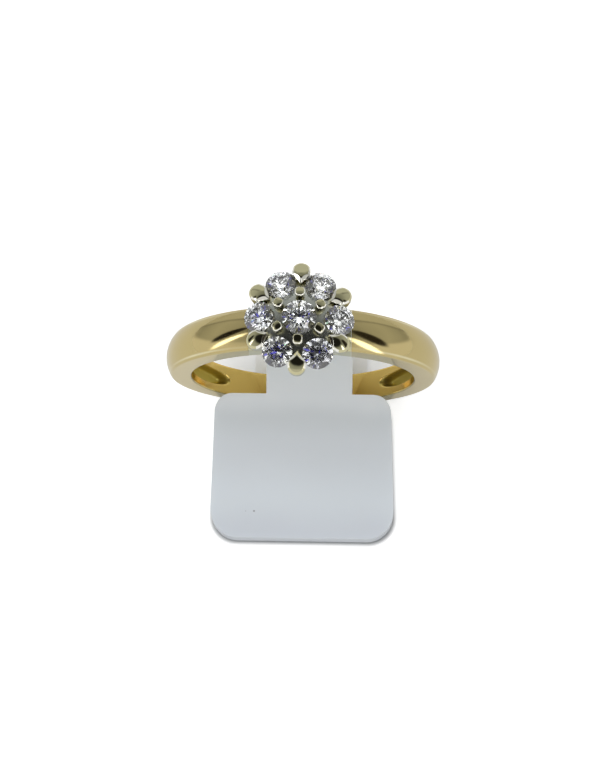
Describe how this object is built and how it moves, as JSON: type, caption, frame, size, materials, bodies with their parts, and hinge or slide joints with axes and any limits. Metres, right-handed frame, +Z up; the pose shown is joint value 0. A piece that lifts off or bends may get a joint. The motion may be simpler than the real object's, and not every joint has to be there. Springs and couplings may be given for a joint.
{
  "type": "cluster ring on a display stand",
  "caption": "Two-colour gold cluster ring with round brilliant stones in a claw setting, held upright by a frosted clip stand.",
  "frame": {"origin": "on the surface under the stand, straight below the middle of the finger hole", "axes": "+Z up through the middle of the cluster, +Y along the finger hole away from the stand's plate, +X across the ring"},
  "size_m": [0.0208, 0.0176, 0.0249],
  "materials": {
    "yellow_gold": "polished yellow gold",
    "white_gold": "polished white gold",
    "stone": "faceted, clear",
    "frosted_acrylic": "frosted"
  },
  "bodies": {
    "root": {"shank": "yellow_gold", "cluster_setting": "white_gold", "stone_centre": "stone", "stone_1": "stone", "stone_2": "stone", "stone_3": "stone", "stone_4": "stone", "stone_5": "stone", "stone_6": "stone", "display_stand": "frosted_acrylic"}
  },
  "joints": []
}
